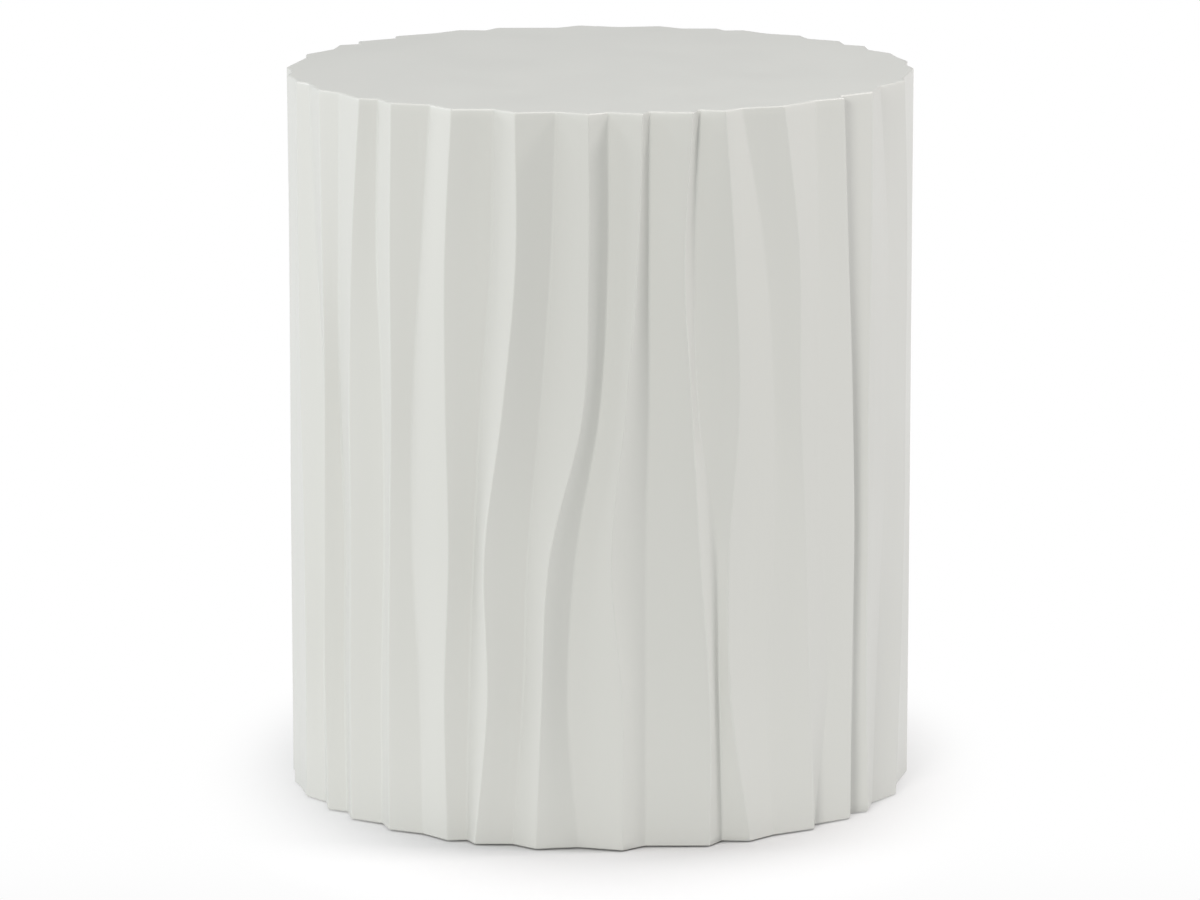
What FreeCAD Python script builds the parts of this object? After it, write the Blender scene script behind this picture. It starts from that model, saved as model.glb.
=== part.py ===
import FreeCAD, Part
import math
import os

import Sketcher

# Outdoor side table: a hollow drum with a flat top and a flowing ribbed side, standing on four
# levelling glides. Millimetres, +Z up, origin on the floor under the centre of the drum.

os.makedirs("parts", exist_ok=True)
doc = FreeCAD.newDocument("side_table")

# Driving sizes. A pad's radius is taken over its corners.
SIZES = (
    # Drum
    ("table_height", 508),
    ("stand_off", 1),
    ("crest_radius", 219.5),
    ("relief", 10.5),
    ("valley_wall", 4),
    ("top_thickness", 8),
    ("rim_ease", 2),
    # Boards bonded inside the drum
    ("board_thickness", 12),
    ("board_margin", 12),
    ("ring_thickness", 18),
    ("ring_width", 60),
    # Threaded inserts in the ring
    ("thread_radius", 4),
    ("thread_clearance", 0.03),
    ("insert_wall", 1.5),
    # Hexagon bolts that stand on their heads, and the caps snapped over those heads
    ("bolt_length", 30),
    ("head_flats", 13),
    ("head_thickness", 5.3),
    ("pad_radius", 14),
    ("pad_floor", 2),
    ("pad_lip", 1.8),
    # Gaps left between pieces that move on each other, and the length by which a cut overruns
    ("turning_gap", 0.35),
    ("stop_gap", 0.2),
    ("overrun", 5),
)

sheet = doc.addObject("Spreadsheet::Sheet", "Sizes")
for row, (name, value) in enumerate(SIZES, start=1):
    sheet.set(f"A{row}", name)
    sheet.set(f"B{row}", str(value))
    sheet.setAlias(f"B{row}", name)

# Sizes that follow from the driving ones
DERIVED = (
    ("hollow_radius", "=crest_radius - relief - valley_wall"),
    ("hollow_top", "=table_height - top_thickness"),
    ("board_radius", "=hollow_radius - board_margin"),
    ("ring_mouth", "=hollow_radius - ring_width"),
    ("glide_circle", "=hollow_radius - ring_width / 2"),
    ("head_foot", "=pad_floor + turning_gap"),
    ("head_top", "=head_foot + head_thickness"),
    ("head_corner", "=head_flats / 2 / cos(30)"),
    ("bolt_top", "=head_top + bolt_length"),
    ("socket_radius", "=head_corner + turning_gap"),
    ("socket_roof", "=head_top + turning_gap"),
    ("mouth_radius", "=thread_radius + turning_gap"),
    ("pad_top", "=socket_roof + pad_lip"),
    ("mouth_end", "=pad_top + overrun"),
    ("insert_bore", "=thread_radius + thread_clearance"),
    ("insert_radius", "=insert_bore + insert_wall"),
    ("ring_foot", "=pad_top + stop_gap"),
    ("ring_top", "=ring_foot + ring_thickness"),
)
for row, (name, formula) in enumerate(DERIVED, start=len(SIZES) + 1):
    sheet.set(f"A{row}", name)
    sheet.set(f"B{row}", formula)
    sheet.setAlias(f"B{row}", name)
doc.recompute()


def size(name):
    return float(getattr(sheet, name))


# The ribs. Each has a valley line and a crest line that wander up the side. The three groups of a
# row give, at the six heights from foot to rim, the bearing of the valley in degrees (0 faces the
# front, positive to the right), the bearing of the crest after it, and the share of the full relief
# that the valley keeps there. The face before the crest is the rise, the one after it the fall.
LEVEL_shares = (0, 0.2, 0.4, 0.6, 0.8, 1)
FRONT_RIB_shares = (
    ((-86, -86, -86, -86, -86, -86), (-81, -81.5, -81, -81, -80.5, -81), (0.4, 0.4, 0.4, 0.4, 0.4, 0.4)),
    ((-77, -77, -77, -77, -76, -76), (-70.5, -70, -70.5, -72, -72.5, -72.5), (0.2, 0.2, 0.2, 0.2, 0.2, 0.2)),
    ((-65, -66.5, -65, -65.5, -67.5, -69), (-60, -61, -60.5, -60, -60.5, -61), (0.7, 0.9, 1, 0.9, 0.7, 0.5)),
    ((-56.5, -58, -57.5, -58, -57, -56), (-52, -52, -51.5, -51.5, -50.5, -48), (0.8, 1, 1, 0.8, 0.6, 0.5)),
    ((-45.5, -46, -45, -45, -46, -45), (-41.5, -41.5, -41, -40.5, -40.5, -40), (0.8, 1, 1, 0.9, 0.8, 0.7)),
    ((-35, -36, -37, -37, -35, -33), (-28.5, -29, -28, -28.5, -28.5, -27), (0.6, 0.8, 0.6, 0.7, 0.8, 0.9)),
    ((-25.5, -25, -24, -22.5, -20.5, -20), (-23, -20.5, -21, -17.5, -15, -15), (0.7, 0.8, 0.9, 0.9, 1, 1)),
    ((-16.5, -14.5, -13.5, -11, -9, -8), (-11.5, -10.5, -9, -3, -2, -2), (0.8, 1, 1, 1, 1, 0.9)),
    ((-4, -6, -4.5, 0, 1.5, 1.5), (4, 4, 2, 4.5, 6.5, 7.5), (0.8, 1, 1, 0.9, 1, 0.9)),
    ((8.5, 8.5, 8.5, 9, 9, 9), (20, 20, 18, 16.5, 15, 16.5), (1, 1, 1, 1, 1, 1)),
    ((23.5, 22.5, 21.5, 18, 17.5, 18.5), (28, 24, 23.5, 25.5, 24.5, 22.5), (0.9, 0.7, 0.5, 0.6, 0.8, 1)),
    ((34, 32.5, 33.5, 33.5, 31.5, 26.5), (42.5, 41, 40, 38.5, 38, 34.5), (0.5, 0.6, 0.4, 0.5, 0.6, 0.6)),
    ((44.5, 47, 44, 43, 43.5, 43), (52.5, 52.5, 53, 52, 50.5, 49), (0.8, 0.5, 0.2, 0.2, 0.4, 0.6)),
    ((55, 55, 55, 54.5, 52.5, 50.5), (58.5, 57.5, 57.5, 57.5, 58, 58), (0.9, 0.6, 0.7, 0.7, 0.7, 0.8)),
    ((64, 66.5, 67, 68, 68, 65), (72, 75, 77, 77, 77, 73.5), (0.7, 0.8, 0.5, 0.3, 0.5, 0.7)),
    ((76, 79, 80, 79.5, 79, 77.5), (89, 87.5, 88, 89.5, 90, 90), (0.5, 0.5, 0.4, 0.4, 0.4, 0.4)),
)
# The back half repeats the front turned half a turn about the upright axis and stood on its head
BACK_RIB_shares = tuple(
    (
        tuple(bearing + 180 for bearing in reversed(valley)),
        tuple(bearing + 180 for bearing in reversed(crest)),
        tuple(reversed(depth)),
    )
    for valley, crest, depth in FRONT_RIB_shares
)
RIB_shares = FRONT_RIB_shares + BACK_RIB_shares


def rim_point(bearing, radius, height):
    turn = math.radians(bearing)
    return FreeCAD.Vector(radius * math.sin(turn), -radius * math.cos(turn), height)


def ribbed_section(name, level, height, inset=0):
    """Closed outline of the side at one of the six levels, drawn in by the inset."""
    points = []
    for valley, crest, depth in RIB_shares:
        valley_radius = size("crest_radius") - size("relief") * depth[level] - inset
        points.append(rim_point(valley[level], valley_radius, height))
        points.append(rim_point(crest[level], size("crest_radius") - inset, height))
    outline = doc.addObject("Part::Polygon", name)
    outline.Nodes = points
    outline.Close = True
    return outline


def lofted(name, outlines, ruled):
    form = doc.addObject("Part::Loft", name)
    form.Sections = outlines
    form.Solid = True
    form.Ruled = ruled
    return form


# Drum: the ribs flow smoothly through the six outlines, and the top edge is eased in two steps of
# a quarter round
side_height = size("table_height") - size("stand_off") - size("rim_ease")
side_outlines = [
    ribbed_section(f"side_outline_{level + 1}", level, size("stand_off") + share * side_height)
    for level, share in enumerate(LEVEL_shares)
]
side_form = lofted("side_form", side_outlines, False)

top_level = len(LEVEL_shares) - 1
rim_outlines = []
for step, turn in enumerate((0, 45, 90)):
    inset = size("rim_ease") * (1 - math.cos(math.radians(turn)))
    height = size("table_height") - size("rim_ease") * (1 - math.sin(math.radians(turn)))
    rim_outlines.append(ribbed_section(f"rim_outline_{step + 1}", top_level, height, inset))
rim_form = lofted("rim_form", rim_outlines, True)

drum_form = doc.addObject("Part::MultiFuse", "drum_form")
drum_form.Shapes = [side_form, rim_form]

hollow = doc.addObject("Part::Cylinder", "hollow")
hollow.setExpression("Radius", "Sizes.hollow_radius")
hollow.setExpression("Height", "Sizes.hollow_top - Sizes.stand_off + Sizes.overrun")
hollow.setExpression("Placement.Base.z", "Sizes.stand_off - Sizes.overrun")

shell = doc.addObject("Part::Cut", "shell")
shell.Base = drum_form
shell.Tool = hollow
doc.recompute()


# Helpers for sketched pieces. A place in a sketch is named by its cell in the sheet, or None for zero.
# A sketch numbers its own two axes as follows, and its origin is the first point of the level one.
LEVEL_AXIS_INDEX = -1
UPRIGHT_AXIS_INDEX = -2


def new_body(name):
    body = doc.addObject("PartDesign::Body", name)
    body.Label = name
    return body


def new_sketch(body, name, role):
    plane = next(item for item in body.Origin.OriginFeatures if item.Role == role)
    sketch = body.newObject("Sketcher::SketchObject", name)
    sketch.AttachmentSupport = [(plane, "")]
    sketch.MapMode = "FlatFace"
    return sketch


def pin_to_cells(sketch, geometry, end, across, up):
    """Hold one point of a sketch at the two cells, or on an axis where a cell is None."""
    for cell, axis, kind in ((across, UPRIGHT_AXIS_INDEX, "DistanceX"), (up, LEVEL_AXIS_INDEX, "DistanceY")):
        if cell is None:
            sketch.addConstraint(Sketcher.Constraint("PointOnObject", geometry, end, axis))
        else:
            place = Sketcher.Constraint(kind, LEVEL_AXIS_INDEX, 1, geometry, end, size(cell))
            index = sketch.addConstraint(place)
            sketch.setExpression(f"Constraints[{index}]", f"Sizes.{cell}")


def revolved(body, name, corners, kind="PartDesign::Revolution"):
    """Turn a closed profile of straight lines about the upright axis, to add it or cut it away."""
    sketch = new_sketch(body, f"{name}_profile", "XZ_Plane")
    places = [
        FreeCAD.Vector(size(across) if across else 0, size(up) if up else 0, 0)
        for across, up in corners
    ]
    lines = [
        sketch.addGeometry(Part.LineSegment(start, end), False)
        for start, end in zip(places, places[1:] + places[:1])
    ]
    for line, following in zip(lines, lines[1:] + lines[:1]):
        sketch.addConstraint(Sketcher.Constraint("Coincident", line, 2, following, 1))
    for line, (across, up) in zip(lines, corners):
        pin_to_cells(sketch, line, 1, across, up)
    turned = body.newObject(kind, f"{name}_turned")
    turned.Profile = sketch
    turned.ReferenceAxis = (sketch, ["V_Axis"])
    turned.Angle = 360
    return turned


def padded_polygon(body, name, sides, corner_cell, foot_cell, height_cell):
    """Upright prism about the body's axis, its corners on a circle bound to a cell."""
    sketch = new_sketch(body, f"{name}_outline", "XY_Plane")
    if foot_cell:
        sketch.setExpression("AttachmentOffset.Base.z", f"Sizes.{foot_cell}")
    centre = FreeCAD.Vector(0, 0, 0)
    circle = Part.Circle(centre, FreeCAD.Vector(0, 0, 1), size(corner_cell))
    ring = sketch.addGeometry(circle, True)
    sketch.addConstraint(Sketcher.Constraint("Coincident", ring, 3, LEVEL_AXIS_INDEX, 1))
    width = sketch.addConstraint(Sketcher.Constraint("Radius", ring, size(corner_cell)))
    sketch.setExpression(f"Constraints[{width}]", f"Sizes.{corner_cell}")
    corners = []
    for number in range(sides):
        turn = math.radians(360 * number / sides)
        corners.append(FreeCAD.Vector(math.cos(turn), math.sin(turn), 0) * size(corner_cell))
    lines = [
        sketch.addGeometry(Part.LineSegment(start, end), False)
        for start, end in zip(corners, corners[1:] + corners[:1])
    ]
    for line, following in zip(lines, lines[1:] + lines[:1]):
        sketch.addConstraint(Sketcher.Constraint("Coincident", line, 2, following, 1))
        sketch.addConstraint(Sketcher.Constraint("PointOnObject", line, 1, ring))
    for line in lines[1:]:
        sketch.addConstraint(Sketcher.Constraint("Equal", lines[0], line))
    sketch.addConstraint(Sketcher.Constraint("PointOnObject", lines[0], 1, LEVEL_AXIS_INDEX))
    prism = body.newObject("PartDesign::Pad", name)
    prism.Profile = sketch
    prism.setExpression("Length", f"Sizes.{height_cell}")
    return prism


# Plywood board bonded under the moulded top, sawn to eight sides
top_board = doc.addObject("Part::Prism", "top_board")
top_board.Polygon = 8
top_board.setExpression("Circumradius", "Sizes.board_radius")
top_board.setExpression("Height", "Sizes.board_thickness")
top_board.setExpression("Placement.Base.z", "Sizes.hollow_top - Sizes.board_thickness")

# Plywood ring bonded inside the foot of the drum, bored for the four inserts
GLIDES = 4
FIRST_GLIDE_BEARING = 45
base_ring = new_body("base_ring")
revolved(base_ring, "ring", (
    ("ring_mouth", "ring_foot"),
    ("hollow_radius", "ring_foot"),
    ("hollow_radius", "ring_top"),
    ("ring_mouth", "ring_top"),
))
insert_hole_sketch = new_sketch(base_ring, "insert_hole_circle", "XY_Plane")
hole_circle = Part.Circle(
    FreeCAD.Vector(size("glide_circle"), 0, 0), FreeCAD.Vector(0, 0, 1), size("insert_radius")
)
hole = insert_hole_sketch.addGeometry(hole_circle, False)
pin_to_cells(insert_hole_sketch, hole, 3, "glide_circle", None)
bore = insert_hole_sketch.addConstraint(Sketcher.Constraint("Radius", hole, size("insert_radius")))
insert_hole_sketch.setExpression(f"Constraints[{bore}]", "Sizes.insert_radius")
insert_hole = base_ring.newObject("PartDesign::Pocket", "insert_hole")
insert_hole.Profile = insert_hole_sketch
insert_hole.Type = "ThroughAll"
insert_hole.Reversed = True
insert_holes = base_ring.newObject("PartDesign::PolarPattern", "insert_holes")
insert_holes.Originals = [insert_hole]
insert_holes.Axis = (insert_hole_sketch, ["N_Axis"])
insert_holes.Angle = 360
insert_holes.Occurrences = GLIDES
base_ring.Tip = insert_holes
base_ring.Placement.Rotation = FreeCAD.Rotation(FreeCAD.Vector(0, 0, 1), FIRST_GLIDE_BEARING)


def place_on_circle(body, number):
    """Stand a glide's piece over its place on the ring's middle circle."""
    bearing = FIRST_GLIDE_BEARING + (number - 1) * 360 / GLIDES
    body.setExpression("Placement.Base.x", f"Sizes.glide_circle * cos({bearing})")
    body.setExpression("Placement.Base.y", f"Sizes.glide_circle * sin({bearing})")


def threaded_insert(number):
    """Threaded steel sleeve let into the ring over its whole thickness."""
    body = new_body(f"threaded_insert_{number}")
    revolved(body, f"insert_{number}", (
        ("insert_bore", "ring_foot"),
        ("insert_radius", "ring_foot"),
        ("insert_radius", "ring_top"),
        ("insert_bore", "ring_top"),
    ))
    place_on_circle(body, number)
    return body


def glide_bolt(number):
    """Hexagon bolt, head down: the head turns in its cap, the shank screws up into the insert."""
    body = new_body(f"glide_bolt_{number}")
    padded_polygon(body, f"bolt_{number}_head", 6, "head_corner", "head_foot", "head_thickness")
    revolved(body, f"bolt_{number}_shank", (
        (None, "head_foot"),
        ("thread_radius", "head_foot"),
        ("thread_radius", "bolt_top"),
        (None, "bolt_top"),
    ))
    place_on_circle(body, number)
    return body


def glide_pad(number):
    """Twelve-sided nylon cap that stands on the floor, its lip snapped over the bolt's head."""
    body = new_body(f"glide_pad_{number}")
    padded_polygon(body, f"pad_{number}_cap", 12, "pad_radius", None, "pad_top")
    revolved(body, f"pad_{number}_socket", (
        (None, "pad_floor"),
        ("socket_radius", "pad_floor"),
        ("socket_radius", "socket_roof"),
        ("mouth_radius", "socket_roof"),
        ("mouth_radius", "mouth_end"),
        (None, "mouth_end"),
    ), "PartDesign::Groove")
    place_on_circle(body, number)
    return body


glide_numbers = range(1, GLIDES + 1)
glide_inserts = doc.addObject("Part::Compound", "glide_inserts")
glide_inserts.Links = [threaded_insert(number) for number in glide_numbers]
pieces = [shell, top_board, base_ring, glide_inserts]
for number in glide_numbers:
    pieces += [glide_bolt(number), glide_pad(number)]
doc.recompute()

# Every object must have built, and every piece be sound solids, before anything is written
for item in doc.Objects:
    if "Invalid" in item.State or "Error" in item.State:
        raise RuntimeError(f"{item.Name} did not build: {item.State}")
plain_ring_volume = insert_hole.BaseFeature.Shape.Volume
if base_ring.Shape.Volume >= insert_hole.Shape.Volume or insert_hole.Shape.Volume >= plain_ring_volume:
    raise RuntimeError("the insert holes cut nothing")
for piece in pieces:
    solids = GLIDES if piece is glide_inserts else 1
    if piece.Shape.isNull() or not piece.Shape.isValid() or len(piece.Shape.Solids) != solids:
        raise RuntimeError(f"{piece.Label} is not sound")
    piece.Shape.exportStep(f"parts/{piece.Label}.step")
    box = piece.Shape.BoundBox
    print(f"{piece.Label}: {piece.Shape.Volume:.1f} mm3, z {box.ZMin:.2f} to {box.ZMax:.2f}")
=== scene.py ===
import bmesh
import bpy
import math
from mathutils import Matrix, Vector


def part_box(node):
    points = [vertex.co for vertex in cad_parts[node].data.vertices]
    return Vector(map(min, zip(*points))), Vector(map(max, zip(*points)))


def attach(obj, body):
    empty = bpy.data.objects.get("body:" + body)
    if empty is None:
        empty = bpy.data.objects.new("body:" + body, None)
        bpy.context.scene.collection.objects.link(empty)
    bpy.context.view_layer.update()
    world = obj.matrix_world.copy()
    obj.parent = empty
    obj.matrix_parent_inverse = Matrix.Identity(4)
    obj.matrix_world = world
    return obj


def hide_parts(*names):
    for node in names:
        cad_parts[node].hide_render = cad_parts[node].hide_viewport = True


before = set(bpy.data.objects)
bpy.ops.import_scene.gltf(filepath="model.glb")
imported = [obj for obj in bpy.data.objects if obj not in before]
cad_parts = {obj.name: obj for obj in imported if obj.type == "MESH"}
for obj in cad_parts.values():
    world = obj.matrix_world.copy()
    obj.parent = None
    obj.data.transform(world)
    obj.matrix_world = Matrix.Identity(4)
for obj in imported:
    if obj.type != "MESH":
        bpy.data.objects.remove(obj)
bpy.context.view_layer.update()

bl_info = {
    "name": "Ribbed drum side table",
    "version": (1, 0, 0),
    "blender": (4, 5, 0),
    "location": "View3D > Sidebar > Side table",
    "description": "Builds the lacquered drum, its glides and the studio round the packed model",
    "category": "Object",
}

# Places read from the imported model, in metres
DRUM_LOW, DRUM_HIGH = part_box("shell")
RING_LOW, RING_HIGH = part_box("base_ring")
BOARD_LOW, BOARD_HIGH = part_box("top_board")
GLIDE_NUMBERS = range(1, 5)
GLIDE_BOXES = [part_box(f"glide_pad_{number}") for number in GLIDE_NUMBERS]
RING_RADIUS = (RING_HIGH[0] - RING_LOW[0]) / 2
BOARD_RADIUS = (BOARD_HIGH[0] - BOARD_LOW[0]) / 2
# From the edge of the plywood ring to its mouth
RING_WIDTH = 0.06

BOARD_SIDES = 8
HEAD_SIDES = 6
CAP_SIDES = 12
# Points round the ring's edge, a bore or sleeve, a bolt and a cap
RING_POINTS = 160
BORE_POINTS = 48
BOLT_POINTS = 48
CAP_POINTS = 96

# Faces that meet at more than these angles keep a sharp edge
SHARP_ANGLE = math.radians(40)
BOLT_SHARP_ANGLE = math.radians(25)
# A face is level where the upright part of its normal is longer than this
LEVEL_NORMAL = 0.9
# Points of a spun skin that are closer than this are one
SAME_PLACE = 1e-7

# The rib lines, as on the solid drum. The three groups of a row give, at six even heights from foot
# to rim, the bearing of the valley in degrees (0 faces the front, positive to the right), the
# bearing of the crest after it, and the share of the full relief that the valley keeps there
FRONT_RIBS = (
    ((-86, -86, -86, -86, -86, -86), (-81, -81.5, -81, -81, -80.5, -81), (0.4, 0.4, 0.4, 0.4, 0.4, 0.4)),
    ((-77, -77, -77, -77, -76, -76), (-70.5, -70, -70.5, -72, -72.5, -72.5), (0.2, 0.2, 0.2, 0.2, 0.2, 0.2)),
    ((-65, -66.5, -65, -65.5, -67.5, -69), (-60, -61, -60.5, -60, -60.5, -61), (0.7, 0.9, 1, 0.9, 0.7, 0.5)),
    ((-56.5, -58, -57.5, -58, -57, -56), (-52, -52, -51.5, -51.5, -50.5, -48), (0.8, 1, 1, 0.8, 0.6, 0.5)),
    ((-45.5, -46, -45, -45, -46, -45), (-41.5, -41.5, -41, -40.5, -40.5, -40), (0.8, 1, 1, 0.9, 0.8, 0.7)),
    ((-35, -36, -37, -37, -35, -33), (-28.5, -29, -28, -28.5, -28.5, -27), (0.6, 0.8, 0.6, 0.7, 0.8, 0.9)),
    ((-25.5, -25, -24, -22.5, -20.5, -20), (-23, -20.5, -21, -17.5, -15, -15), (0.7, 0.8, 0.9, 0.9, 1, 1)),
    ((-16.5, -14.5, -13.5, -11, -9, -8), (-11.5, -10.5, -9, -3, -2, -2), (0.8, 1, 1, 1, 1, 0.9)),
    ((-4, -6, -4.5, 0, 1.5, 1.5), (4, 4, 2, 4.5, 6.5, 7.5), (0.8, 1, 1, 0.9, 1, 0.9)),
    ((8.5, 8.5, 8.5, 9, 9, 9), (20, 20, 18, 16.5, 15, 16.5), (1, 1, 1, 1, 1, 1)),
    ((23.5, 22.5, 21.5, 18, 17.5, 18.5), (28, 24, 23.5, 25.5, 24.5, 22.5), (0.9, 0.7, 0.5, 0.6, 0.8, 1)),
    ((34, 32.5, 33.5, 33.5, 31.5, 26.5), (42.5, 41, 40, 38.5, 38, 34.5), (0.5, 0.6, 0.4, 0.5, 0.6, 0.6)),
    ((44.5, 47, 44, 43, 43.5, 43), (52.5, 52.5, 53, 52, 50.5, 49), (0.8, 0.5, 0.2, 0.2, 0.4, 0.6)),
    ((55, 55, 55, 54.5, 52.5, 50.5), (58.5, 57.5, 57.5, 57.5, 58, 58), (0.9, 0.6, 0.7, 0.7, 0.7, 0.8)),
    ((64, 66.5, 67, 68, 68, 65), (72, 75, 77, 77, 77, 73.5), (0.7, 0.8, 0.5, 0.3, 0.5, 0.7)),
    ((76, 79, 80, 79.5, 79, 77.5), (89, 87.5, 88, 89.5, 90, 90), (0.5, 0.5, 0.4, 0.4, 0.4, 0.4)),
)
HALF_TURN = 180
# The back half repeats the front turned half a turn about the upright axis and stood on its head
BACK_RIBS = tuple(
    (
        tuple(bearing + HALF_TURN for bearing in reversed(valley)),
        tuple(bearing + HALF_TURN for bearing in reversed(crest)),
        tuple(reversed(depth)),
    )
    for valley, crest, depth in FRONT_RIBS
)
RIBS = FRONT_RIBS + BACK_RIBS


class DrumSizes(bpy.types.PropertyGroup):
    crest_radius: bpy.props.FloatProperty(
        name="Crest radius", description="Radius of the drum over its ribs",
        default=0.2195, subtype="DISTANCE", unit="LENGTH")
    relief: bpy.props.FloatProperty(
        name="Relief", description="Depth of the deepest valleys",
        default=0.0105, subtype="DISTANCE", unit="LENGTH")
    crest_round: bpy.props.FloatProperty(
        name="Crest round", description="Length over which the lacquer rounds a crest, each side",
        default=0.0009, subtype="DISTANCE", unit="LENGTH")
    valley_round: bpy.props.FloatProperty(
        name="Valley round", description="Length over which the lacquer fills a valley, each side",
        default=0.0015, subtype="DISTANCE", unit="LENGTH")
    rim_ease: bpy.props.FloatProperty(
        name="Rim ease", description="Radius of the eased edge round the top",
        default=0.0012, subtype="DISTANCE", unit="LENGTH")
    hollow_radius: bpy.props.FloatProperty(
        name="Hollow radius", description="Radius of the space inside the drum",
        default=RING_RADIUS, subtype="DISTANCE", unit="LENGTH")
    hollow_top: bpy.props.FloatProperty(
        name="Hollow top", description="Height of the underside of the moulded top",
        default=BOARD_HIGH[2], subtype="DISTANCE", unit="LENGTH")
    foot_ease: bpy.props.FloatProperty(
        name="Foot ease", description="Width of the sanded edge round the foot",
        default=0.0007, subtype="DISTANCE", unit="LENGTH")
    row_step: bpy.props.FloatProperty(
        name="Row step", description="Height between two rows of the side's mesh",
        default=0.0055, subtype="DISTANCE", unit="LENGTH")


class BoardSizes(bpy.types.PropertyGroup):
    arris: bpy.props.FloatProperty(
        name="Arris", description="Width of the sanded edge of the plywood",
        default=0.0006, subtype="DISTANCE", unit="LENGTH")
    ring_mouth: bpy.props.FloatProperty(
        name="Ring mouth", description="Radius of the opening in the base ring",
        default=RING_RADIUS - RING_WIDTH, subtype="DISTANCE", unit="LENGTH")
    insert_radius: bpy.props.FloatProperty(
        name="Insert radius", description="Outer radius of the threaded sleeves in the ring",
        default=0.00553, subtype="DISTANCE", unit="LENGTH")
    insert_bore: bpy.props.FloatProperty(
        name="Insert bore", description="Radius of the bore of the sleeves",
        default=0.00403, subtype="DISTANCE", unit="LENGTH")


class GlideSizes(bpy.types.PropertyGroup):
    thread_radius: bpy.props.FloatProperty(
        name="Thread radius", description="Radius of the bolt over its thread",
        default=0.004, subtype="DISTANCE", unit="LENGTH")
    thread_depth: bpy.props.FloatProperty(
        name="Thread depth", description="Depth of the groove between two turns of the thread",
        default=0.00072, subtype="DISTANCE", unit="LENGTH")
    thread_pitch: bpy.props.FloatProperty(
        name="Thread pitch", description="Rise of the thread in one turn",
        default=0.00125, subtype="DISTANCE", unit="LENGTH")
    head_flats: bpy.props.FloatProperty(
        name="Head flats", description="Width of the bolt's head across its flats",
        default=0.013, subtype="DISTANCE", unit="LENGTH")
    head_thickness: bpy.props.FloatProperty(
        name="Head thickness", description="Height of the bolt's head",
        default=0.0053, subtype="DISTANCE", unit="LENGTH")
    head_corner_cut: bpy.props.FloatProperty(
        name="Head corner cut", description="Height of the turned cut on the corners of the head",
        default=0.0006, subtype="DISTANCE", unit="LENGTH")
    pad_floor: bpy.props.FloatProperty(
        name="Pad floor", description="Thickness of the cap under the bolt's head",
        default=0.002, subtype="DISTANCE", unit="LENGTH")
    pad_lip: bpy.props.FloatProperty(
        name="Pad lip", description="Thickness of the lip snapped over the bolt's head",
        default=0.0018, subtype="DISTANCE", unit="LENGTH")
    pad_round: bpy.props.FloatProperty(
        name="Pad round", description="Radius of the moulded edges of the cap",
        default=0.0012, subtype="DISTANCE", unit="LENGTH")
    turning_gap: bpy.props.FloatProperty(
        name="Turning gap", description="Gap between the bolt and its cap",
        default=0.00035, subtype="DISTANCE", unit="LENGTH")


class FinishColours(bpy.types.PropertyGroup):
    lacquer: bpy.props.StringProperty(
        name="Lacquer", description="Colour of the sprayed satin lacquer, sRGB hex", default="CDCEC9")
    laminate: bpy.props.StringProperty(
        name="Laminate", description="Colour of the raw glass-fibre inside, sRGB hex", default="B9B49C")
    veneer: bpy.props.StringProperty(
        name="Veneer", description="Colour of the birch veneer, sRGB hex", default="C9A97C")
    pale_veneer: bpy.props.StringProperty(
        name="Pale veneer", description="Colour between the lines of its grain, sRGB hex", default="E2CDA4")
    end_grain: bpy.props.StringProperty(
        name="End grain", description="Colour of the plies cut across, sRGB hex", default="8E6B44")
    plating: bpy.props.StringProperty(
        name="Plating", description="Colour of the bright zinc plating, sRGB hex", default="B9BDC2")
    nylon: bpy.props.StringProperty(
        name="Nylon", description="Colour of the moulded nylon caps, sRGB hex", default="D8D6CE")


class StudioSizes(bpy.types.PropertyGroup):
    floor_size: bpy.props.FloatProperty(
        name="Floor size", description="Side of the square floor",
        default=40, subtype="DISTANCE", unit="LENGTH")
    camera_distance: bpy.props.FloatProperty(
        name="Camera distance", description="Distance of the camera from the drum's axis, along the floor",
        default=4.3255, subtype="DISTANCE", unit="LENGTH")
    camera_height: bpy.props.FloatProperty(
        name="Camera height", description="Height of the camera above the floor",
        default=1.1261, subtype="DISTANCE", unit="LENGTH")
    camera_drop: bpy.props.FloatProperty(
        name="Camera drop", description="Angle by which the camera looks down",
        default=0.2032, subtype="ANGLE", unit="ROTATION")
    lens: bpy.props.FloatProperty(
        name="Lens", description="Focal length in millimetres on a 36 mm wide film",
        default=187.04)
    light_distance: bpy.props.FloatProperty(
        name="Light distance", description="Distance of each softbox from the middle of the drum",
        default=3.2, subtype="DISTANCE", unit="LENGTH")
    light_height: bpy.props.FloatProperty(
        name="Light height", description="Height of the point that the softboxes face",
        default=0.3, subtype="DISTANCE", unit="LENGTH")
    softbox_size: bpy.props.FloatProperty(
        name="Softbox size", description="Side of each square softbox",
        default=0.8, subtype="DISTANCE", unit="LENGTH")


def linear_colour(hexadecimal):
    """The linear colour that an sRGB hex value stands for."""
    channels = [int(hexadecimal[place:place + 2], 16) / 255 for place in (0, 2, 4)]
    return tuple(c / 12.92 if c <= 0.04045 else ((c + 0.055) / 1.055) ** 2.4 for c in channels) + (1,)


def add_node(tree, kind, settings=None, inputs=None, links=None):
    """Adds a node, sets its properties and its sockets' values, and links sockets to it."""
    node = tree.nodes.new(kind)
    for name, value in (settings or {}).items():
        setattr(node, name, value)
    for name, value in (inputs or {}).items():
        node.inputs[name].default_value = value
    for name, socket in (links or {}).items():
        tree.links.new(socket, node.inputs[name])
    return node


def new_material(name):
    """An empty material with its output node; returns it with its node tree and output."""
    material = bpy.data.materials.new(name)
    material.use_nodes = True
    material.node_tree.nodes.clear()
    output = add_node(material.node_tree, "ShaderNodeOutputMaterial")
    return material, material.node_tree, output


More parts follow.
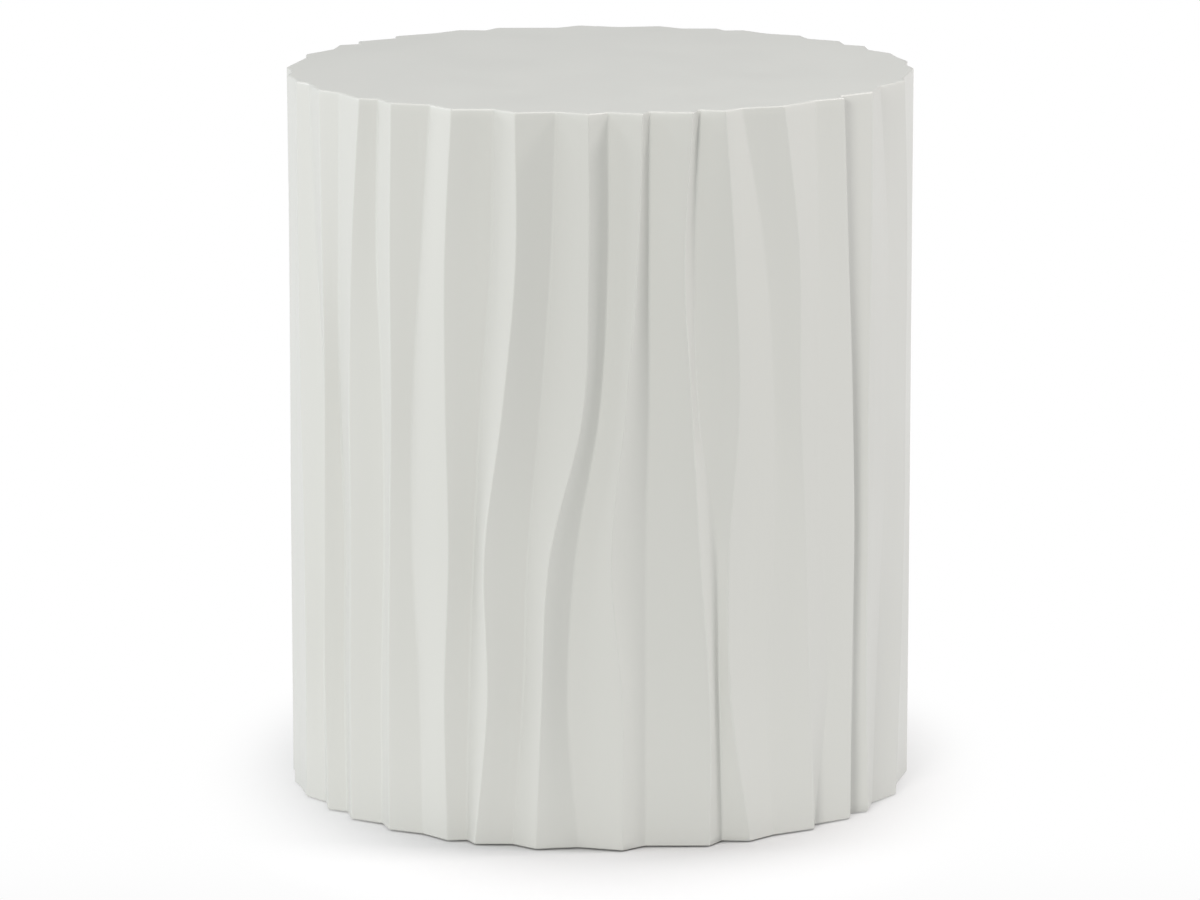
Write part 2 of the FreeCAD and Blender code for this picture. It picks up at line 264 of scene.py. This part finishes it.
def satin_lacquer():
    """Sprayed two-pack satin lacquer over a hand-carved form. Its soft sheen is broken up by the fine
    orange peel of the spray, and faint upright tool marks show through it on the side."""
    material, tree, output = new_material("sprayed_satin_lacquer")
    colours = bpy.context.scene.table_colours
    place = add_node(tree, "ShaderNodeTexCoord")
    # Strokes about 14 mm apart and 200 mm long
    drawn = add_node(tree, "ShaderNodeMapping", inputs={"Scale": (1, 1, 0.07)},
                     links={"Vector": place.outputs["Object"]})
    strokes = add_node(tree, "ShaderNodeTexNoise",
                       inputs={"Scale": 70, "Detail": 2, "Roughness": 0.5, "Distortion": 0.2},
                       links={"Vector": drawn.outputs["Vector"]})
    facing = add_node(tree, "ShaderNodeSeparateXYZ", links={"Vector": place.outputs["Normal"]})
    side = add_node(tree, "ShaderNodeMapRange",
                    inputs={"From Min": 0.2, "From Max": 0.6, "To Min": 0.5, "To Max": 0},
                    links={"Value": facing.outputs["Z"]})
    carved = add_node(tree, "ShaderNodeBump", inputs={"Distance": 0.0006},
                      links={"Height": strokes.outputs["Fac"], "Strength": side.outputs["Result"]})
    # Cells of about 2.4 mm, a little coarser than a real orange peel so that they show
    peel = add_node(tree, "ShaderNodeTexNoise", inputs={"Scale": 420, "Detail": 2, "Roughness": 0.45},
                    links={"Vector": place.outputs["Object"]})
    skin = add_node(tree, "ShaderNodeBump", inputs={"Strength": 0.12, "Distance": 0.00012},
                    links={"Height": peel.outputs["Fac"], "Normal": carved.outputs["Normal"]})
    # Passes of the spray, in clouds of about 60 mm
    spray = add_node(tree, "ShaderNodeTexNoise", inputs={"Scale": 16, "Detail": 2, "Roughness": 0.5},
                     links={"Vector": place.outputs["Object"]})
    sheen = add_node(tree, "ShaderNodeMapRange",
                     inputs={"From Min": 0.3, "From Max": 0.7, "To Min": 0.36, "To Max": 0.42},
                     links={"Value": spray.outputs["Fac"]})
    shader = add_node(tree, "ShaderNodeBsdfPrincipled",
                      inputs={"Base Color": linear_colour(colours.lacquer), "IOR": 1.5},
                      links={"Normal": skin.outputs["Normal"], "Roughness": sheen.outputs["Result"]})
    tree.links.new(shader.outputs["BSDF"], output.inputs["Surface"])
    return material


def raw_laminate():
    """Laid-up glass-fibre and resin, left raw. The chopped strands show as a pale uneven weave."""
    material, tree, output = new_material("raw_glass_fibre_laminate")
    colours = bpy.context.scene.table_colours
    place = add_node(tree, "ShaderNodeTexCoord")
    # Bundles of strands about 11 mm across
    strands = add_node(tree, "ShaderNodeTexVoronoi", settings={"feature": "F2"},
                       inputs={"Scale": 90, "Randomness": 1},
                       links={"Vector": place.outputs["Object"]})
    lumps = add_node(tree, "ShaderNodeBump", inputs={"Strength": 0.6, "Distance": 0.0015},
                     links={"Height": strands.outputs["Distance"]})
    shader = add_node(tree, "ShaderNodeBsdfPrincipled",
                      inputs={"Base Color": linear_colour(colours.laminate), "Roughness": 0.55, "IOR": 1.52},
                      links={"Normal": lumps.outputs["Normal"]})
    tree.links.new(shader.outputs["BSDF"], output.inputs["Surface"])
    return material


def plywood_face():
    """Birch plywood, sanded and unsealed. The long grain of its face veneer runs along X."""
    material, tree, output = new_material("birch_plywood_face")
    colours = bpy.context.scene.table_colours
    place = add_node(tree, "ShaderNodeTexCoord")
    # Grain lines about 4 mm apart and 65 mm long, coarser than real birch so that they show
    along = add_node(tree, "ShaderNodeMapping", inputs={"Scale": (0.06, 1, 1)},
                     links={"Vector": place.outputs["Object"]})
    grain = add_node(tree, "ShaderNodeTexNoise",
                     inputs={"Scale": 260, "Detail": 4, "Roughness": 0.6, "Distortion": 0.4},
                     links={"Vector": along.outputs["Vector"]})
    tint = add_node(tree, "ShaderNodeValToRGB", links={"Fac": grain.outputs["Fac"]})
    tint.color_ramp.elements[0].position = 0.3
    tint.color_ramp.elements[0].color = linear_colour(colours.veneer)
    tint.color_ramp.elements[1].position = 0.7
    tint.color_ramp.elements[1].color = linear_colour(colours.pale_veneer)
    fibres = add_node(tree, "ShaderNodeBump", inputs={"Strength": 0.3, "Distance": 0.0003},
                      links={"Height": grain.outputs["Fac"]})
    shader = add_node(tree, "ShaderNodeBsdfPrincipled",
                      inputs={"Roughness": 0.7, "IOR": 1.45},
                      links={"Base Color": tint.outputs["Color"], "Normal": fibres.outputs["Normal"]})
    tree.links.new(shader.outputs["BSDF"], output.inputs["Surface"])
    return material


def plywood_edge():
    """Sawn edge of birch plywood. Its plies show as bands of long grain and dark end grain."""
    material, tree, output = new_material("birch_plywood_edge")
    colours = bpy.context.scene.table_colours
    place = add_node(tree, "ShaderNodeTexCoord")
    # One pair of plies is 2.8 mm thick
    plies = add_node(tree, "ShaderNodeTexWave",
                     settings={"wave_type": "BANDS", "bands_direction": "Z", "wave_profile": "SIN"},
                     inputs={"Scale": 112, "Distortion": 0.8, "Detail": 2, "Detail Scale": 0.4},
                     links={"Vector": place.outputs["Object"]})
    tint = add_node(tree, "ShaderNodeValToRGB", links={"Fac": plies.outputs["Fac"]})
    tint.color_ramp.elements[0].position = 0.42
    tint.color_ramp.elements[0].color = linear_colour(colours.end_grain)
    tint.color_ramp.elements[1].position = 0.55
    tint.color_ramp.elements[1].color = linear_colour(colours.veneer)
    sawn = add_node(tree, "ShaderNodeBump", inputs={"Strength": 0.4, "Distance": 0.0003},
                    links={"Height": plies.outputs["Fac"]})
    shader = add_node(tree, "ShaderNodeBsdfPrincipled",
                      inputs={"Roughness": 0.8, "IOR": 1.45},
                      links={"Base Color": tint.outputs["Color"], "Normal": sawn.outputs["Normal"]})
    tree.links.new(shader.outputs["BSDF"], output.inputs["Surface"])
    return material


def zinc_plating():
    """Bright zinc plating over turned steel. Its sheen is slightly uneven from the barrel."""
    material, tree, output = new_material("bright_zinc_plating")
    colours = bpy.context.scene.table_colours
    place = add_node(tree, "ShaderNodeTexCoord")
    # Patches of about 1.7 mm from the tumbling in the barrel
    wear = add_node(tree, "ShaderNodeTexNoise", inputs={"Scale": 600, "Detail": 2},
                    links={"Vector": place.outputs["Object"]})
    sheen = add_node(tree, "ShaderNodeMapRange", inputs={"To Min": 0.22, "To Max": 0.42},
                     links={"Value": wear.outputs["Fac"]})
    skin = add_node(tree, "ShaderNodeBump", inputs={"Strength": 0.1, "Distance": 0.00005},
                    links={"Height": wear.outputs["Fac"]})
    shader = add_node(tree, "ShaderNodeBsdfPrincipled",
                      inputs={"Base Color": linear_colour(colours.plating), "Metallic": 1},
                      links={"Roughness": sheen.outputs["Result"], "Normal": skin.outputs["Normal"]})
    tree.links.new(shader.outputs["BSDF"], output.inputs["Surface"])
    return material


def moulded_nylon():
    """Natural nylon, injection moulded. It is slightly waxy, with the fine texture of its mould."""
    material, tree, output = new_material("moulded_nylon")
    colours = bpy.context.scene.table_colours
    place = add_node(tree, "ShaderNodeTexCoord")
    # Grain of about 1 mm, coarser than a real spark-eroded mould so that it shows
    texture = add_node(tree, "ShaderNodeTexNoise", inputs={"Scale": 900, "Detail": 2},
                       links={"Vector": place.outputs["Object"]})
    skin = add_node(tree, "ShaderNodeBump", inputs={"Strength": 0.15, "Distance": 0.00008},
                    links={"Height": texture.outputs["Fac"]})
    shader = add_node(tree, "ShaderNodeBsdfPrincipled",
                      inputs={"Base Color": linear_colour(colours.nylon), "Roughness": 0.42, "IOR": 1.53,
                              "Subsurface Weight": 0.15, "Subsurface Scale": 0.002},
                      links={"Normal": skin.outputs["Normal"]})
    tree.links.new(shader.outputs["BSDF"], output.inputs["Surface"])
    return material


def between_levels(values, share):
    """Value at a share of the side's height, on a smooth curve through the six values."""
    span = share * (len(values) - 1)
    low = min(int(span), len(values) - 2)
    part = span - low
    before = values[low - 1] if low > 0 else 2 * values[0] - values[1]
    after = values[low + 2] if low + 2 < len(values) else 2 * values[-1] - values[-2]
    start, end = values[low], values[low + 1]
    slope_in, slope_out = (end - before) / 2, (after - start) / 2
    return (
        start * (2 * part ** 3 - 3 * part ** 2 + 1) + end * (3 * part ** 2 - 2 * part ** 3)
        + slope_in * (part ** 3 - 2 * part ** 2 + part) + slope_out * (part ** 3 - part ** 2)
    )


def crease_points(share, sizes, inset=0):
    """Valley and crest points in turn round the side at a share of its height, in plan."""
    points = []
    for valley, crest, depth in RIBS:
        valley_radius = sizes.crest_radius - sizes.relief * between_levels(depth, share)
        for bearings, radius in ((valley, valley_radius), (crest, sizes.crest_radius)):
            turn = math.radians(between_levels(bearings, share))
            points.append(Vector((math.sin(turn), -math.cos(turn))) * (radius - inset))
    return points


# Steps round a crease, points along the face after a valley and after a crest, and the most of the
# shorter face beside it that a crease's rounding takes up
ROUND_STEPS = 4
FACE_STEPS = (1, 2)
ROUND_SHARE = 0.45


def side_outline(share, sizes, inset=0):
    """Outline of the side in plan with every crease rounded, the same count of points at any height."""
    creases = crease_points(share, sizes, inset)
    rounds = (sizes.valley_round, sizes.crest_round)
    count = len(creases)
    reaches = []
    for number, crease in enumerate(creases):
        shorter = min((crease - creases[number - 1]).length, (creases[(number + 1) % count] - crease).length)
        reaches.append(min(rounds[number % 2], shorter * ROUND_SHARE))
    outline = []
    for number, crease in enumerate(creases):
        following = (number + 1) % count
        back = (creases[number - 1] - crease).normalized()
        ahead = (creases[following] - crease).normalized()
        start, end = crease + back * reaches[number], crease + ahead * reaches[number]
        for step in range(ROUND_STEPS + 1):
            part = step / ROUND_STEPS
            outline.append(start.lerp(crease, part).lerp(crease.lerp(end, part), part))
        next_start = creases[following] - ahead * reaches[following]
        steps = FACE_STEPS[number % 2]
        for step in range(1, steps + 1):
            outline.append(end.lerp(next_start, step / (steps + 1)))
    return outline


def ring_edges(form, count):
    """A closed ring of the count of points, the start of a skin that rows are drawn up from."""
    made = bmesh.ops.create_circle(form, segments=count, radius=1, cap_ends=False)
    corners = made["verts"]
    edges = list({edge for corner in corners for edge in corner.link_edges})
    return corners, edges


def draw_row(form, edges, corners):
    """Extrudes a ring of edges; returns the new ring in the order of the old one."""
    made = bmesh.ops.extrude_edge_only(form, edges=edges)["geom"]
    new_edges = [item for item in made if isinstance(item, bmesh.types.BMEdge)]
    new_corners = {item for item in made if isinstance(item, bmesh.types.BMVert)}
    ordered = []
    for corner in corners:
        partner = next(
            edge.other_vert(corner) for edge in corner.link_edges if edge.other_vert(corner) in new_corners
        )
        ordered.append(partner)
    return ordered, new_edges


def place_row(corners, outline, height):
    """Puts a ring's corners on an outline at a height."""
    for corner, point in zip(corners, outline):
        corner.co = (point.x, point.y, height)


def draw_skin(form, rows):
    """Draws a closed skin up through rows of outline and height, with a face over each end."""
    corners, edges = ring_edges(form, len(rows[0][0]))
    place_row(corners, *rows[0])
    bmesh.ops.contextual_create(form, geom=edges)
    for outline, height in rows[1:]:
        corners, edges = draw_row(form, edges, corners)
        place_row(corners, outline, height)
    bmesh.ops.contextual_create(form, geom=edges)
    bmesh.ops.recalc_face_normals(form, faces=form.faces)


def glide_centre(low_corner, high_corner):
    """Middle of a piece's box in plan."""
    return ((low_corner[0] + high_corner[0]) / 2, (low_corner[1] + high_corner[1]) / 2)


def spin_profile(form, profile, steps, centre=(0, 0)):
    """Turns a closed profile of radius and height about an upright axis into a ring-shaped skin."""
    corners = [form.verts.new((centre[0] + radius, centre[1], height)) for radius, height in profile]
    edges = [form.edges.new(pair) for pair in zip(corners, corners[1:] + corners[:1])]
    bmesh.ops.spin(form, geom=corners + edges, cent=(*centre, 0), axis=(0, 0, 1),
                   angle=math.tau, steps=steps, use_merge=True)
    bmesh.ops.remove_doubles(form, verts=form.verts, dist=SAME_PLACE)
    bmesh.ops.recalc_face_normals(form, faces=form.faces)


def finished_object(name, form, materials, sharp_angle=SHARP_ANGLE):
    """Turns a bmesh into an object at the origin with smooth shading and its materials."""
    mesh = bpy.data.meshes.new(name)
    form.to_mesh(mesh)
    form.free()
    piece = bpy.data.objects.new(name, mesh)
    bpy.context.scene.collection.objects.link(piece)
    for material in materials:
        mesh.materials.append(material)
    mesh.shade_smooth()
    mesh.set_sharp_from_angle(angle=sharp_angle)
    return piece


def round_outline(radius, count, centre=(0, 0)):
    """Points of a circle in plan."""
    return [
        Vector(centre) + radius * Vector((math.cos(turn), math.sin(turn)))
        for turn in (math.tau * number / count for number in range(count))
    ]


def paint_faces(form, chosen, slot):
    """Gives the faces for which the test holds the material of that slot."""
    for face in form.faces:
        if chosen(face):
            face.material_index = slot


# Steps over the eased rim and up the hollow, and the rings across the top as shares of the rim's
# reach, which turn from ribbed to round on their way in
EASE_STEPS = 4
HOLLOW_STEPS = 6
TOP_RING_SHARES = (0.995, 0.95, 0.8, 0.5)


class TABLE_OT_drum(bpy.types.Operator):
    """Lacquered drum: ribbed side, eased rim, flat top and the raw hollow inside"""
    bl_idname = "table.drum"
    bl_label = "Drum"

    def execute(self, context):
        sizes = context.scene.table_drum
        foot, top = DRUM_LOW[2], DRUM_HIGH[2]
        shoulder = top - sizes.rim_ease
        form = bmesh.new()
        foot_outline = side_outline(0, sizes, sizes.foot_ease)
        foot_corners, foot_edges = ring_edges(form, len(foot_outline))
        place_row(foot_corners, foot_outline, foot)

        # Up the side
        corners, edges = draw_row(form, foot_edges, foot_corners)
        place_row(corners, side_outline(0, sizes), foot + sizes.foot_ease)
        rows = round((shoulder - foot) / sizes.row_step)
        for row in range(1, rows + 1):
            corners, edges = draw_row(form, edges, corners)
            share = row / rows
            place_row(corners, side_outline(share, sizes), foot + share * (shoulder - foot))

        # Over the eased rim and in across the top
        for step in range(1, EASE_STEPS + 1):
            turn = math.radians(90) * step / EASE_STEPS
            inset = sizes.rim_ease * (1 - math.cos(turn))
            corners, edges = draw_row(form, edges, corners)
            place_row(corners, side_outline(1, sizes, inset), shoulder + sizes.rim_ease * math.sin(turn))
        rim = [corner.co.xy for corner in corners]
        for share in TOP_RING_SHARES:
            corners, edges = draw_row(form, edges, corners)
            even = sizes.crest_radius * share
            inner = [(point * share).lerp(point.normalized() * even, 1 - share) for point in rim]
            place_row(corners, inner, top)
        bmesh.ops.contextual_create(form, geom=edges)

        # Under the foot and up the hollow
        plan = [corner.co.xy.normalized() for corner in foot_corners]
        corners, edges = foot_corners, foot_edges
        hollow = [point * sizes.hollow_radius for point in plan]
        for step in range(HOLLOW_STEPS + 1):
            corners, edges = draw_row(form, edges, corners)
            place_row(corners, hollow, foot + (sizes.hollow_top - foot) * step / HOLLOW_STEPS)
        bmesh.ops.contextual_create(form, geom=edges)
        bmesh.ops.recalc_face_normals(form, faces=form.faces)
        reach = sizes.hollow_radius + sizes.foot_ease
        paint_faces(form, lambda face: (
            face.calc_center_median().xy.length < reach and face.calc_center_median().z < shoulder
        ), 1)
        piece = finished_object("drum", form, [satin_lacquer(), raw_laminate()])
        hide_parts("shell")
        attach(piece, "table")
        return {"FINISHED"}


class TABLE_OT_top_board(bpy.types.Operator):
    """Eight-sided plywood board bonded under the moulded top"""
    bl_idname = "table.top_board"
    bl_label = "Top board"

    def execute(self, context):
        low, high, arris = BOARD_LOW[2], BOARD_HIGH[2], context.scene.table_boards.arris
        form = bmesh.new()
        draw_skin(form, [
            (round_outline(BOARD_RADIUS - inset, BOARD_SIDES), height)
            for inset, height in ((arris, low), (0, low + arris), (0, high - arris), (arris, high))
        ])
        paint_faces(form, lambda face: abs(face.normal.z) < LEVEL_NORMAL, 1)
        piece = finished_object("top_board_plywood", form, [plywood_face(), plywood_edge()])
        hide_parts("top_board")
        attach(piece, "table")
        return {"FINISHED"}


class TABLE_OT_base_ring(bpy.types.Operator):
    """Plywood ring in the foot of the drum, bored for the glides' sleeves"""
    bl_idname = "table.base_ring"
    bl_label = "Base ring"

    def execute(self, context):
        sizes = context.scene.table_boards
        low, high, arris = RING_LOW[2], RING_HIGH[2], sizes.arris
        form = bmesh.new()
        profile = [
            (sizes.ring_mouth + arris, low), (RING_RADIUS, low),
            (RING_RADIUS, high), (sizes.ring_mouth + arris, high),
            (sizes.ring_mouth, high - arris), (sizes.ring_mouth, low + arris),
        ]
        spin_profile(form, profile, RING_POINTS)
        piece = finished_object("base_ring_plywood", form, [plywood_face(), plywood_edge()])

        cutter_form = bmesh.new()
        for box in GLIDE_BOXES:
            hole = round_outline(sizes.insert_radius, BORE_POINTS, glide_centre(*box))
            draw_skin(cutter_form, [(hole, low - arris), (hole, high + arris)])
        cutter = finished_object("sleeve_holes", cutter_form, [])
        cut = piece.modifiers.new("sleeve_holes", "BOOLEAN")
        cut.operation = "DIFFERENCE"
        cut.solver = "EXACT"
        cut.object = cutter
        bored = bpy.data.meshes.new_from_object(piece.evaluated_get(context.evaluated_depsgraph_get()))
        piece.modifiers.clear()
        piece.data = bored
        bpy.data.objects.remove(cutter)
        for face in bored.polygons:
            face.material_index = 0 if abs(face.normal.z) > LEVEL_NORMAL else 1
        bored.set_sharp_from_angle(angle=SHARP_ANGLE)
        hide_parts("base_ring")
        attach(piece, "table")
        return {"FINISHED"}


class TABLE_OT_inserts(bpy.types.Operator):
    """Four plated steel sleeves let into the ring"""
    bl_idname = "table.inserts"
    bl_label = "Sleeves"

    def execute(self, context):
        sizes = context.scene.table_boards
        low, high = RING_LOW[2], RING_HIGH[2]
        wall = sizes.insert_radius - sizes.insert_bore
        lead = wall / 3
        form = bmesh.new()
        for box in GLIDE_BOXES:
            spin_profile(form, [
                (sizes.insert_bore + lead, low), (sizes.insert_radius, low),
                (sizes.insert_radius, high), (sizes.insert_bore + lead, high),
                (sizes.insert_bore, high - lead), (sizes.insert_bore, low + lead),
            ], BORE_POINTS, glide_centre(*box))
        piece = finished_object("glide_sleeves", form, [zinc_plating()])
        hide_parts("glide_inserts")
        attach(piece, "table")
        return {"FINISHED"}


def head_corner(sizes):
    """Reach of the corners of a bolt's head from its axis."""
    return sizes.head_flats / 2 / math.cos(math.pi / HEAD_SIDES)


def polygon_outline(sides, reach, count, centre, limit=None):
    """Points round a regular polygon in plan, its first corner on the X axis and all cut back to a limit."""
    points = []
    half = math.pi / sides
    for number in range(count):
        turn = math.tau * number / count
        off_flat = turn % (2 * half) - half
        radius = min(reach * math.cos(half) / math.cos(off_flat), limit or reach)
        points.append(Vector(centre) + radius * Vector((math.cos(turn), math.sin(turn))))
    return points


# Rows of points in one turn of the thread, how steeply the flanks of its groove fall, and the share of
# the depth that its flat crest takes off
THREAD_ROWS = 8
FLANK_SLOPE = 1.25
CREST_FLAT = 0.15


def thread_outline(height, low, high, sizes, centre):
    """Points round the shank at a height. Its groove climbs with the bearing and runs out at both ends."""
    points = []
    run_out = min(1, (height - low) / sizes.thread_pitch)
    tip = max(0, 1 - (high - height) / sizes.thread_pitch)
    for number in range(BOLT_POINTS):
        turn = math.tau * number / BOLT_POINTS
        phase = (height / sizes.thread_pitch - number / BOLT_POINTS) % 1
        groove = min(1, max(0, FLANK_SLOPE * (1 - abs(2 * phase - 1)) - CREST_FLAT))
        depth = sizes.thread_depth * max(groove * run_out, tip)
        radius = sizes.thread_radius - depth
        points.append(Vector(centre) + radius * Vector((math.cos(turn), math.sin(turn))))
    return points


class TABLE_OT_bolts(bpy.types.Operator):
    """Four hexagon bolts, heads down, with their threads"""
    bl_idname = "table.bolts"
    bl_label = "Glide bolts"

    def execute(self, context):
        sizes = context.scene.table_glides
        plating = zinc_plating()
        corner, cut = head_corner(sizes), sizes.head_corner_cut
        for number in GLIDE_NUMBERS:
            low_corner, high_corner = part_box(f"glide_bolt_{number}")
            centre = glide_centre(low_corner, high_corner)
            low, high = low_corner[2], high_corner[2]
            neck = low + sizes.head_thickness
            cut_hexagon = polygon_outline(HEAD_SIDES, corner, BOLT_POINTS, centre, corner - 2 * cut)
            hexagon = polygon_outline(HEAD_SIDES, corner, BOLT_POINTS, centre)
            rows = [
                (cut_hexagon, low), (hexagon, low + cut), (hexagon, neck - cut), (cut_hexagon, neck),
                (round_outline(sizes.thread_radius, BOLT_POINTS, centre), neck),
            ]
            steps = int((high - neck) / (sizes.thread_pitch / THREAD_ROWS))
            for row in range(1, steps + 1):
                height = neck + (high - neck) * row / steps
                rows.append((thread_outline(height, neck, high, sizes, centre), height))
            form = bmesh.new()
            draw_skin(form, rows)
            piece = finished_object(f"hexagon_bolt_{number}", form, [plating], BOLT_SHARP_ANGLE)
            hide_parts(f"glide_bolt_{number}")
            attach(piece, f"bolt_{number}")
        return {"FINISHED"}


# Steps round a moulded edge of the caps
EDGE_TURNS = [math.radians(turn) for turn in (0, 30, 60, 90)]


class TABLE_OT_pads(bpy.types.Operator):
    """Four nylon caps snapped over the heads of the bolts"""
    bl_idname = "table.pads"
    bl_label = "Glide caps"

    def execute(self, context):
        sizes = context.scene.table_glides
        nylon = moulded_nylon()
        for number in GLIDE_NUMBERS:
            low_corner, high_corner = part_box(f"glide_pad_{number}")
            centre = glide_centre(low_corner, high_corner)
            radius = (high_corner[0] - low_corner[0]) / 2
            low, high = low_corner[2], high_corner[2]
            socket = head_corner(sizes) + sizes.turning_gap
            mouth = sizes.thread_radius + sizes.turning_gap
            soft = sizes.pad_round
            outside = [
                (soft * (1 - math.sin(turn)), low + soft * (1 - math.cos(turn))) for turn in EDGE_TURNS
            ] + [
                (soft * (1 - math.cos(turn)), high - soft * (1 - math.sin(turn))) for turn in EDGE_TURNS
            ]
            inside = [
                (mouth + soft / 3, high), (mouth, high - soft / 3), (mouth, high - sizes.pad_lip),
                (socket, high - sizes.pad_lip), (socket, low + sizes.pad_floor),
            ]
            form = bmesh.new()
            draw_skin(form, [
                (polygon_outline(CAP_SIDES, radius - inset, CAP_POINTS, centre), height)
                for inset, height in outside
            ] + [(round_outline(reach, CAP_POINTS, centre), height) for reach, height in inside])
            piece = finished_object(f"nylon_cap_{number}", form, [nylon])
            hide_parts(f"glide_pad_{number}")
            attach(piece, f"pad_{number}")
        return {"FINISHED"}


# Millimetres
FILM_WIDTH = 36
# Even light from all round, in sRGB hex, and its strength
SURROUNDINGS_COLOUR = "F0F2F5"
SURROUNDINGS_STRENGTH = 0.3
SOFTBOXES = (
    # Name, bearing round the table (0 in front, positive to the right) and height angle in degrees,
    # watts, and colour in sRGB hex
    ("left_low_softbox", -104, 15, 24, "FAFCFF"),
    ("left_high_softbox", -85, 45, 22, "F9FBFF"),
    ("front_softbox", -17, 20, 47, "FFFDFA"),
    ("right_low_softbox", 96, 15, 11, "FFFAF9"),
    ("right_high_softbox", 85, 45, 48, "FFFAFA"),
    ("overhead_softbox", 0, 85, 25, "FFFFFE"),
)


def aim(thing, target):
    """Turns a light towards a point."""
    thing.rotation_euler = (target - thing.location).to_track_quat("-Z", "Y").to_euler()


def paper_floor(size):
    """White paper, with painted shade that makes it greyer close to the foot. Away from the foot the floor
    glows instead of being lit, evenly behind and beside the table, and its glow falls off gently in front of
    the table as painted light."""
    form = bmesh.new()
    bmesh.ops.create_grid(form, x_segments=1, y_segments=1, size=size / 2)
    material, tree, output = new_material("white_paper")
    place = add_node(tree, "ShaderNodeTexCoord")
    # Widened, so that the painted shade near the foot gives way to the glow sooner at both sides of the foot
    # than in front of it
    widened = add_node(tree, "ShaderNodeMapping", inputs={"Scale": (1.5, 1, 1)},
                       links={"Vector": place.outputs["Object"]})
    reach = add_node(tree, "ShaderNodeVectorMath", settings={"operation": "LENGTH"},
                     links={0: widened.outputs["Vector"]})
    away = add_node(tree, "ShaderNodeMapRange", settings={"interpolation_type": "SMOOTHSTEP"},
                    inputs={"From Min": 0.22, "From Max": 0.45},
                    links={"Value": reach.outputs["Value"]})
    # Painted shade: the paper's colour darkens close to the foot, standing in for the soft contact shadow
    painted_contact_shade = add_node(tree, "ShaderNodeMapRange",
                    inputs={"From Min": 0.24, "From Max": 0.42, "To Min": 0.62, "To Max": 0.92},
                    links={"Value": reach.outputs["Value"]})
    paper = add_node(tree, "ShaderNodeBsdfPrincipled",
                     inputs={"Roughness": 0.9, "Specular IOR Level": 0.1},
                     links={"Base Color": painted_contact_shade.outputs["Result"]})
    # Painted light: away from the foot the floor glows instead of being lit, and the glow is dimmer towards
    # the front, a painted falloff of light
    apart = add_node(tree, "ShaderNodeSeparateXYZ", links={"Vector": place.outputs["Object"]})
    fall = add_node(tree, "ShaderNodeMapRange", settings={"interpolation_type": "SMOOTHSTEP"},
                    inputs={"From Min": -1.5, "From Max": -0.15, "To Min": 0.5, "To Max": 1},
                    links={"Value": apart.outputs["Y"]})
    glow = add_node(tree, "ShaderNodeEmission", inputs={"Color": (1, 1, 1, 1)},
                    links={"Strength": fall.outputs["Result"]})
    sheet = add_node(tree, "ShaderNodeMixShader", links={
        "Fac": away.outputs["Result"], 1: paper.outputs["BSDF"], 2: glow.outputs["Emission"]})
    tree.links.new(sheet.outputs["Shader"], output.inputs["Surface"])
    floor = finished_object("floor", form, [material])


def studio_world():
    """Dim grey surroundings, so that the softboxes shape the ribs."""
    world = bpy.data.worlds.new("studio_world")
    world.use_nodes = True
    background = world.node_tree.nodes["Background"]
    background.inputs["Color"].default_value = linear_colour(SURROUNDINGS_COLOUR)
    background.inputs["Strength"].default_value = SURROUNDINGS_STRENGTH
    return world


class TABLE_OT_studio(bpy.types.Operator):
    """Pale floor, soft studio light and the camera"""
    bl_idname = "table.studio"
    bl_label = "Studio"

    def execute(self, context):
        sizes = context.scene.table_studio
        paper_floor(sizes.floor_size)
        context.scene.world = studio_world()
        centre = Vector((0, 0, sizes.light_height))
        for name, bearing, rise, power, colour in SOFTBOXES:
            light = bpy.data.lights.new(name, "AREA")
            light.size = sizes.softbox_size
            light.energy = power
            light.color = linear_colour(colour)[:3]
            lamp = bpy.data.objects.new(name, light)
            turn, lift = math.radians(bearing), math.radians(rise)
            lamp.location = centre + sizes.light_distance * Vector((
                math.sin(turn) * math.cos(lift), -math.cos(turn) * math.cos(lift), math.sin(lift)))
            aim(lamp, centre)
            context.scene.collection.objects.link(lamp)

        camera_data = bpy.data.cameras.new("camera")
        camera_data.lens = sizes.lens
        camera_data.sensor_width = FILM_WIDTH
        camera = bpy.data.objects.new("camera", camera_data)
        camera.location = (0, -sizes.camera_distance, sizes.camera_height)
        camera.rotation_euler = (math.radians(90) - sizes.camera_drop, 0, 0)
        context.scene.collection.objects.link(camera)
        context.scene.camera = camera
        context.scene.view_settings.view_transform = "Standard"
        return {"FINISHED"}


OPERATORS = (
    TABLE_OT_drum, TABLE_OT_top_board, TABLE_OT_base_ring, TABLE_OT_inserts, TABLE_OT_bolts, TABLE_OT_pads,
    TABLE_OT_studio,
)


class TABLE_PT_pieces(bpy.types.Panel):
    """Lists the pieces of the table"""
    bl_idname = "TABLE_PT_pieces"
    bl_label = "Side table"
    bl_space_type = "VIEW_3D"
    bl_region_type = "UI"
    bl_category = "Side table"

    def draw(self, context):
        for operator in OPERATORS:
            self.layout.operator(operator.bl_idname)


GROUPS = {
    "table_drum": DrumSizes,
    "table_boards": BoardSizes,
    "table_glides": GlideSizes,
    "table_colours": FinishColours,
    "table_studio": StudioSizes,
}
CLASSES = (*GROUPS.values(), *OPERATORS, TABLE_PT_pieces)


def register():
    for item in CLASSES:
        bpy.utils.register_class(item)
    for name, group in GROUPS.items():
        setattr(bpy.types.Scene, name, bpy.props.PointerProperty(type=group))


def unregister():
    for name in GROUPS:
        delattr(bpy.types.Scene, name)
    for item in reversed(CLASSES):
        bpy.utils.unregister_class(item)


def main():
    register()
    bpy.ops.table.drum()
    bpy.ops.table.top_board()
    bpy.ops.table.base_ring()
    bpy.ops.table.inserts()
    bpy.ops.table.bolts()
    bpy.ops.table.pads()
    bpy.ops.table.studio()


if __name__ == "__main__":
    main()
